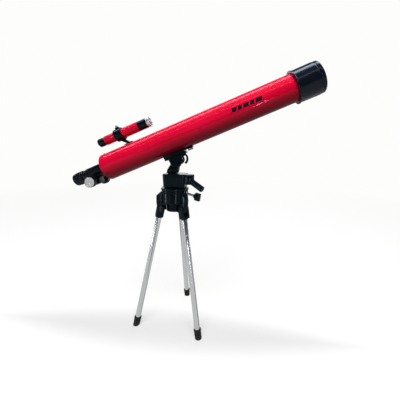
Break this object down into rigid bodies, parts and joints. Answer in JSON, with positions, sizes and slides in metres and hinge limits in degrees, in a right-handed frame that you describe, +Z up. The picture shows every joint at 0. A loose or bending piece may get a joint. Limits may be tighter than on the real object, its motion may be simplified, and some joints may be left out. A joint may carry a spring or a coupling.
{
  "type": "refracting telescope",
  "caption": "Small red table-top refracting telescope with finder and rack focuser, on a pan and tilt head and a folding chrome tripod.",
  "frame": {"origin": "middle of the floor rectangle that the whole telescope covers, on the floor", "axes": "+Z up, away from the floor; the tube lies in the XZ plane with its front end towards +X; +Y is the far side, away from the tilt lock knob"},
  "size_m": [0.5538, 0.1526, 0.5857],
  "materials": {
    "red_paint": "gloss red enamel",
    "hood_gloss": "gloss black",
    "head_plastic": "satin moulded black",
    "cap_plastic": "satin moulded black",
    "lever_plastic": "satin moulded black",
    "focuser_plastic": "satin moulded black",
    "eyepiece_plastic": "semi-gloss black",
    "chrome_tube": "bright chrome",
    "bright_trim": "bright chrome",
    "spun_metal": "spun, with circular brush marks",
    "screw_steel": "plated steel",
    "rack_brass": "machined",
    "foot_rubber": "matte",
    "coated_glass": "coated"
  },
  "bodies": {
    "tripod": {"tripod_shoulder": "head_plastic", "pan_collar": "head_plastic", "leg_1_pin": "screw_steel", "leg_2_pin": "screw_steel", "leg_3_pin": "screw_steel"},
    "pan_lock": {"pan_lock_screw": "bright_trim", "pan_lock_knob": "lever_plastic"},
    "pan_head": {"pan_body": "head_plastic", "tilt_neck": "head_plastic", "pan_pivot_bolt": "screw_steel"},
    "pan_handle": {"pan_handle_grip": "lever_plastic", "pan_handle_stud": "screw_steel"},
    "telescope": {"tilt_platform": "head_plastic", "tilt_bolt": "screw_steel", "tube_saddle_block": "head_plastic", "main_tube": "red_paint", "housing_screw_1": "screw_steel", "housing_screw_2": "screw_steel", "housing_screw_3": "screw_steel", "dew_hood": "hood_gloss", "objective_cell": "eyepiece_plastic", "objective_flint": "coated_glass", "objective_crown": "coated_glass", "objective_retainer": "eyepiece_plastic", "focuser_housing": "focuser_plastic", "pinion_cover": "screw_steel", "finder_bracket": "focuser_plastic", "bracket_screw": "screw_steel", "finder_tube": "red_paint", "finder_cell": "eyepiece_plastic", "finder_lens": "coated_glass", "finder_front_ring": "bright_trim", "finder_stop_screw": "bright_trim"},
    "tilt_lock": {"tilt_lock_knob": "lever_plastic"},
    "platform_clamp": {"platform_screw": "screw_steel", "platform_screw_lever": "lever_plastic"},
    "saddle_screw": {"saddle_thumbscrew": "spun_metal"},
    "focus_tube": {"drawtube": "chrome_tube", "focus_rack": "rack_brass"},
    "focus_pinion": {"pinion_shaft": "screw_steel", "focus_knob_near": "focuser_plastic", "focus_knob_far": "focuser_plastic", "focus_knob_face_near": "spun_metal", "focus_knob_face_far": "spun_metal"},
    "eyepiece": {"eyepiece_shell": "eyepiece_plastic", "eyepiece_barrel": "chrome_tube", "eye_lens": "coated_glass"},
    "eyepiece_clamp": {"eyepiece_screw": "bright_trim"},
    "finder_focus": {"finder_eyepiece": "eyepiece_plastic"},
    "finder_clamp": {"finder_clamp_screw": "screw_steel"},
    "dust_cover": {"dust_cap": "hood_gloss"},
    "leg_1": {"leg_1_cap": "cap_plastic", "leg_1_tube": "chrome_tube", "leg_1_foot": "foot_rubber"},
    "leg_2": {"leg_2_cap": "cap_plastic", "leg_2_tube": "chrome_tube", "leg_2_foot": "foot_rubber"},
    "leg_3": {"leg_3_cap": "cap_plastic", "leg_3_tube": "chrome_tube", "leg_3_foot": "foot_rubber"}
  },
  "joints": [
    {"name": "leg_1_fold", "type": "hinge", "parent": "tripod", "child": "leg_1", "pos_m": [-0.06727, -0.0273, 0.265], "axis": [0.3649, -0.9311, 0], "range_deg": [0, 11.4]},
    {"name": "leg_2_fold", "type": "hinge", "parent": "tripod", "child": "leg_2", "pos_m": [-0.01247, -0.03558, 0.265], "axis": [0.6239, 0.7815, 0], "range_deg": [0, 11.4]},
    {"name": "leg_3_fold", "type": "hinge", "parent": "tripod", "child": "leg_3", "pos_m": [-0.03269, 0.01602, 0.265], "axis": [-0.9888, 0.1495, 0], "range_deg": [0, 11.4]},
    {"name": "pan", "type": "hinge", "parent": "tripod", "child": "pan_head", "pos_m": [-0.03748, -0.01562, 0.33], "axis": [0, 0, 1], "continuous": true},
    {"name": "tilt", "type": "hinge", "parent": "pan_head", "child": "telescope", "pos_m": [-0.02998, -0.01562, 0.377], "axis": [0, -1, 0], "range_deg": [-33.5, 31.5]},
    {"name": "pan_lock_turn", "type": "hinge", "parent": "tripod", "child": "pan_lock", "pos_m": [-0.03748, -0.01562, 0.3096], "axis": [0.9131, -0.3689, -0.1736], "range_deg": [-90, 270]},
    {"name": "pan_handle_turn", "type": "hinge", "parent": "pan_head", "child": "pan_handle", "pos_m": [-0.0027, -0.02494, 0.3333], "axis": [0.7969, -0.4237, -0.4305], "range_deg": [-180, 180]},
    {"name": "tilt_lock_turn", "type": "hinge", "parent": "telescope", "child": "tilt_lock", "pos_m": [-0.02998, -0.01562, 0.377], "axis": [0, -1, 0], "range_deg": [0, 360]},
    {"name": "platform_clamp_turn", "type": "hinge", "parent": "telescope", "child": "platform_clamp", "pos_m": [-0.01707, -0.01562, 0.39046], "axis": [-0.3987, 0, 0.9171], "range_deg": [-60, 60]},
    {"name": "saddle_screw_turn", "type": "hinge", "parent": "telescope", "child": "saddle_screw", "pos_m": [-0.01642, -0.01562, 0.4336], "axis": [-0.3987, 0, 0.9171], "range_deg": [0, 360]},
    {"name": "focus_slide", "type": "slide", "parent": "telescope", "child": "focus_tube", "axis": [-0.9171, 0, -0.3987], "range_m": [-0.003, 0.04]},
    {"name": "focus_knob_turn", "type": "hinge", "parent": "telescope", "child": "focus_pinion", "pos_m": [-0.22033, -0.01562, 0.324], "axis": [0, -1, 0], "range_deg": [-45, 555]},
    {"name": "eyepiece_pull", "type": "slide", "parent": "focus_tube", "child": "eyepiece", "axis": [-0.9171, 0, -0.3987], "range_m": [0, 0.03]},
    {"name": "eyepiece_clamp_turn", "type": "hinge", "parent": "focus_tube", "child": "eyepiece_clamp", "pos_m": [-0.24669, -0.01562, 0.33347], "axis": [0, 1, 0], "range_deg": [0, 360]},
    {"name": "finder_focus_slide", "type": "slide", "parent": "telescope", "child": "finder_focus", "axis": [-0.9171, 0, -0.3987], "range_m": [0, 0.008]},
    {"name": "finder_clamp_turn", "type": "hinge", "parent": "telescope", "child": "finder_clamp", "pos_m": [-0.16485, -0.01562, 0.43013], "axis": [-0.3987, 0, 0.9171], "range_deg": [0, 360]},
    {"name": "dust_cap_pull", "type": "slide", "parent": "telescope", "child": "dust_cover", "axis": [0.9171, 0, 0.3987], "range_m": [0, 0.06]}
  ],
  "couplings": [
    {"joint": "focus_knob_turn", "follows": "focus_slide", "rad_per_m": 238.1}
  ]
}
